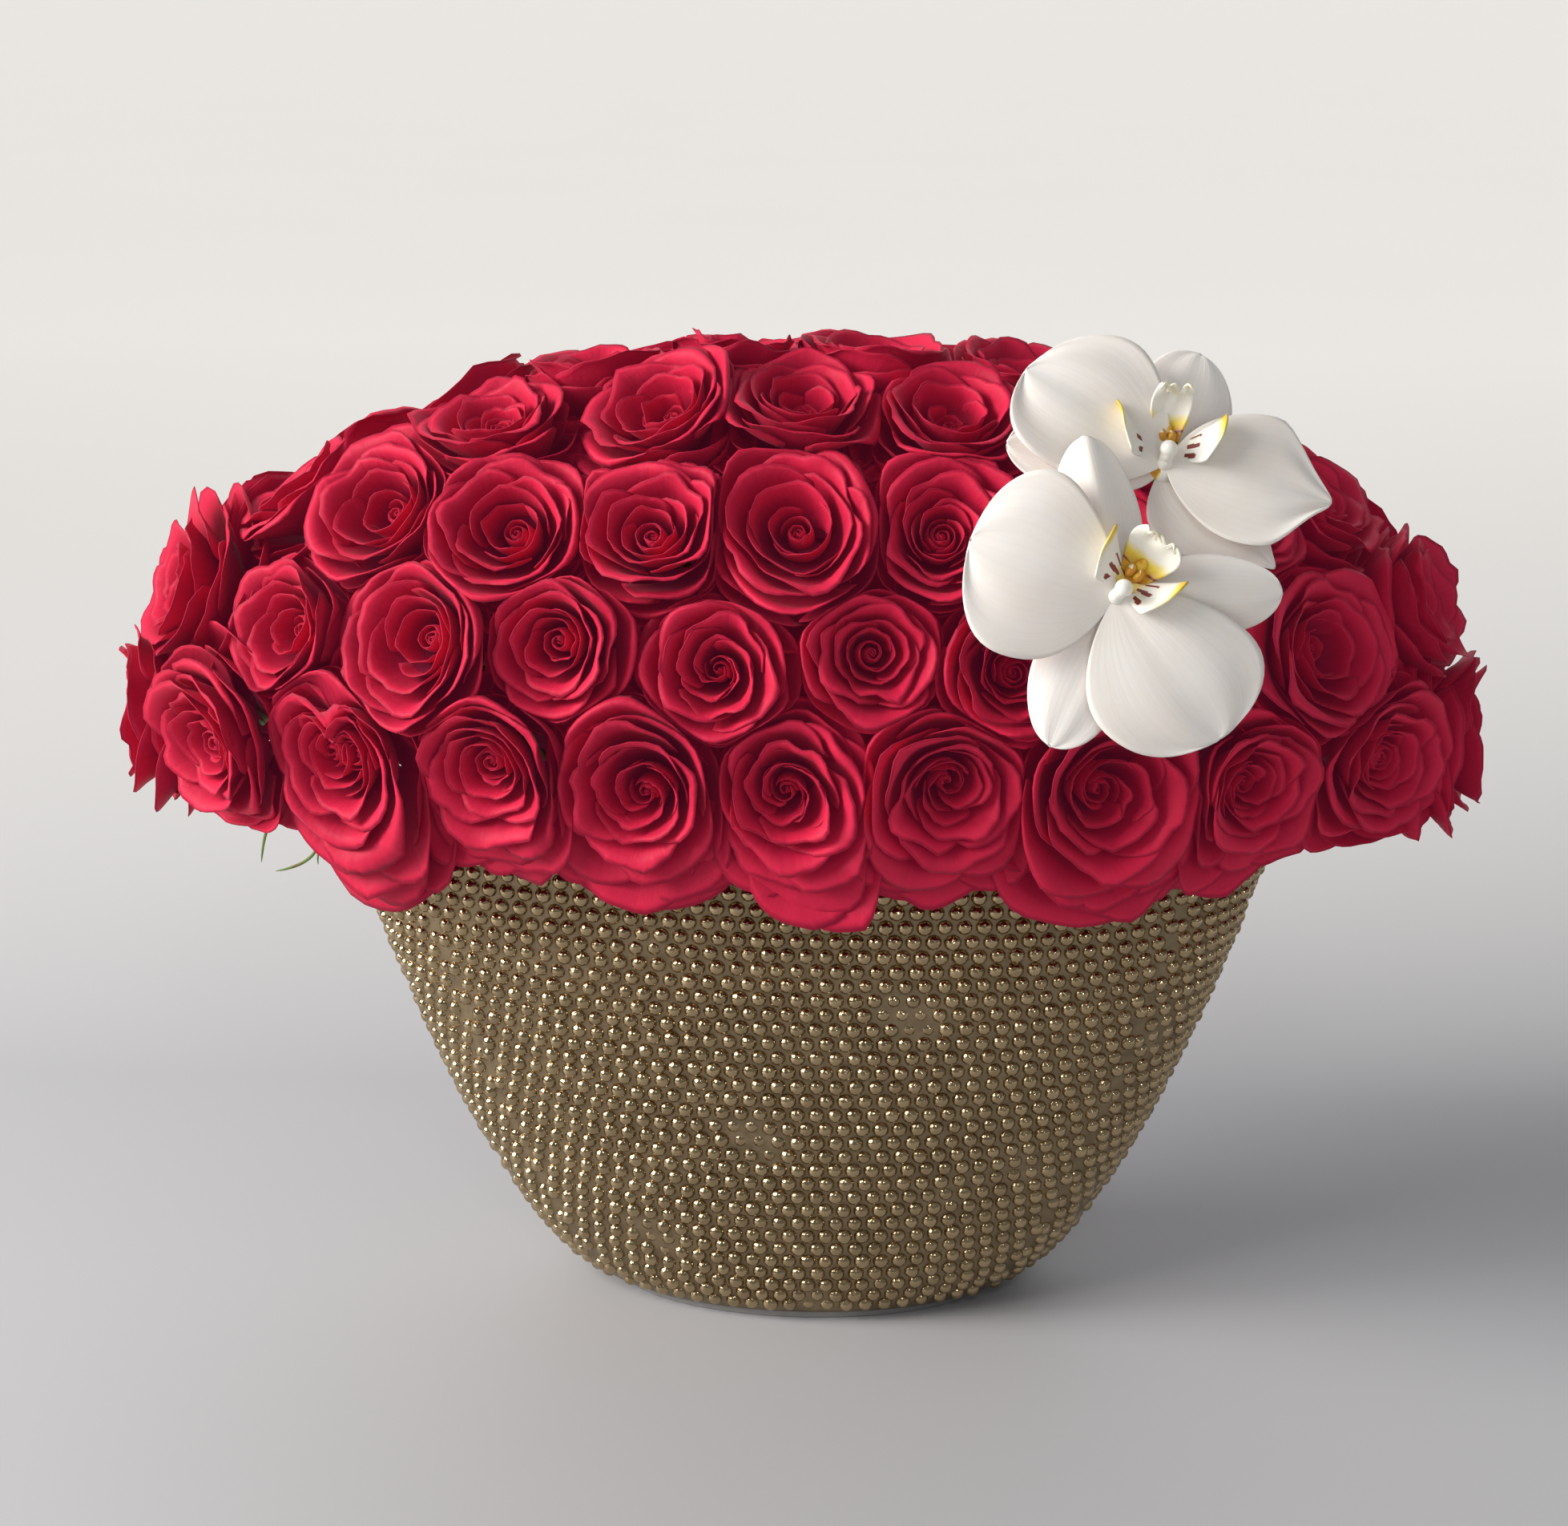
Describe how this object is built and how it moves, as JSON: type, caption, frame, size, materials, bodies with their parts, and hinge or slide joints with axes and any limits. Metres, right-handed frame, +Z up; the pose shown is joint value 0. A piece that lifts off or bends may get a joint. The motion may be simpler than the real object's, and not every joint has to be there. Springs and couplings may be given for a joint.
{
  "type": "floral centrepiece",
  "caption": "Dome of red roses with white moth orchids at one side, standing on floral foam in a long boat-shaped bowl vase covered in small round metal studs.",
  "frame": {"origin": "middle of the vase's flat foot, on the table", "axes": "+X along the long side of the vase and the dome, +Z up, -Y towards the front, where the orchids are"},
  "size_m": [0.5066, 0.2386, 0.3903],
  "materials": {
    "vase": "satin, small polished studs",
    "foam": "matte",
    "rose": "velvety petals",
    "orchid": "soft waxy petals",
    "orchid_lip": "waxy",
    "stem": "matte"
  },
  "bodies": {
    "root": {"vase": "vase", "floral_foam": "foam", "rose_01": "rose", "rose_02": "rose", "rose_03": "rose", "rose_04": "rose", "rose_05": "rose", "rose_06": "rose", "rose_07": "rose", "rose_08": "rose", "rose_09": "rose", "rose_10": "rose", "rose_11": "rose", "rose_12": "rose", "rose_13": "rose", "rose_14": "rose", "rose_15": "rose", "rose_16": "rose", "rose_17": "rose", "rose_18": "rose", "rose_19": "rose", "rose_20": "rose", "rose_21": "rose", "rose_22": "rose", "rose_23": "rose", "rose_24": "rose", "rose_25": "rose", "rose_26": "rose", "rose_27": "rose", "rose_28": "rose", "rose_29": "rose", "rose_30": "rose", "rose_31": "rose", "rose_32": "rose", "rose_33": "rose", "rose_34": "rose", "rose_35": "rose", "rose_36": "rose", "rose_37": "rose", "rose_38": "rose", "back_roses_01": "rose", "back_roses_02": "rose", "back_roses_03": "rose", "back_roses_04": "rose", "back_roses_05": "rose", "back_roses_06": "rose", "back_roses_07": "rose", "front_orchid_sepals": "orchid", "front_orchid_petals": "orchid", "front_orchid_lip": "orchid_lip", "front_orchid_stem": "stem", "upper_orchid_sepals": "orchid", "upper_orchid_petals": "orchid", "upper_orchid_lip": "orchid_lip", "upper_orchid_stem": "stem"}
  },
  "joints": []
}
